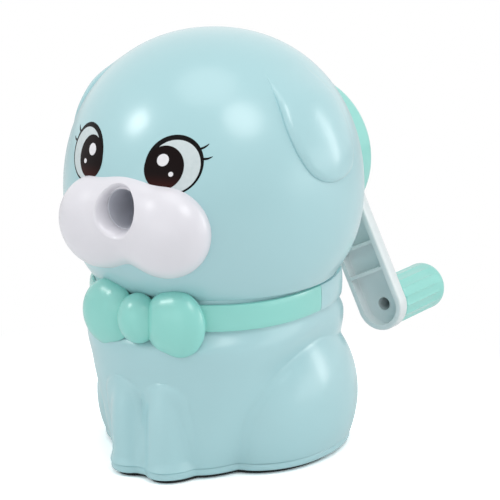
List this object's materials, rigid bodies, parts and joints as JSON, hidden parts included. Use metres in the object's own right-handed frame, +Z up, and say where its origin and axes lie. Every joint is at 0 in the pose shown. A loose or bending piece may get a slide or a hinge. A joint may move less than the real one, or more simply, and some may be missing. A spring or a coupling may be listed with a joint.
{
  "type": "crank pencil sharpener",
  "caption": "Hand-crank pencil sharpener shaped like a sitting puppy, with a pencil hole in the muzzle, a rear crank with a turning grip, and a shavings drawer.",
  "frame": {"origin": "on the table, below the middle of the head, in the plane of the pad's underside", "axes": "+Z up, the puppy looks along -Y, the pencil goes in along +Y and the crank turns about the same line"},
  "size_m": [0.0826, 0.127, 0.115],
  "materials": {
    "shell_plastic": "glossy moulded ABS, pale cyan blue",
    "white_plastic": "glossy moulded ABS, cool white",
    "mint_plastic": "glossy moulded ABS, mint green",
    "frame_plastic": "satin moulded plastic, light grey",
    "pad_rubber": "matt non-slip rubber",
    "gear_steel": "machined steel",
    "cutter_steel": "hardened ground steel",
    "cast_metal": "die-cast zinc alloy",
    "bush_brass": "sintered bronze",
    "screw_steel": "zinc-plated steel"
  },
  "bodies": {
    "housing": {"head_shell": "shell_plastic", "head_rear_shell": "shell_plastic", "muzzle": "white_plastic", "pencil_guide": "frame_plastic", "body_shell": "shell_plastic", "collar": "mint_plastic", "bow_tie": "mint_plastic", "base_plate": "shell_plastic", "base_pad": "pad_rubber", "chip_funnel": "frame_plastic", "mechanism_frame": "frame_plastic", "ring_gear": "gear_steel", "inner_bush": "bush_brass", "outer_bush": "bush_brass", "rear_cover": "mint_plastic", "cover_screws": "screw_steel", "neck_screws": "screw_steel", "base_screws": "screw_steel", "muzzle_screws": "screw_steel"},
    "drawer": {"shavings_drawer": "shell_plastic"},
    "crank": {"crank_arm": "white_plastic", "crank_shaft": "gear_steel", "shaft_clip": "gear_steel", "hub_screw": "screw_steel", "grip_screw": "screw_steel", "cutter_carrier": "cast_metal", "cutter_axle": "gear_steel"},
    "cutter": {"helical_cutter": "cutter_steel", "cutter_pinion": "gear_steel"},
    "grip": {"crank_grip": "mint_plastic", "grip_cap": "mint_plastic"}
  },
  "joints": [
    {"name": "crank_turn", "type": "hinge", "parent": "housing", "child": "crank", "pos_m": [0, 0.04, 0.0742], "axis": [0, 1, 0], "continuous": true},
    {"name": "cutter_spin", "type": "hinge", "parent": "crank", "child": "cutter", "pos_m": [0, 0.02, 0.0682], "axis": [0, 0.9863, 0.165], "continuous": true},
    {"name": "grip_spin", "type": "hinge", "parent": "crank", "child": "grip", "pos_m": [0.02161, 0.068, 0.02989], "axis": [0, 1, 0], "continuous": true},
    {"name": "drawer_slide", "type": "slide", "parent": "housing", "child": "drawer", "axis": [0, 1, 0], "range_m": [0, 0.032]}
  ],
  "couplings": [
    {"joint": "cutter_spin", "follows": "crank_turn", "ratio": -2}
  ]
}
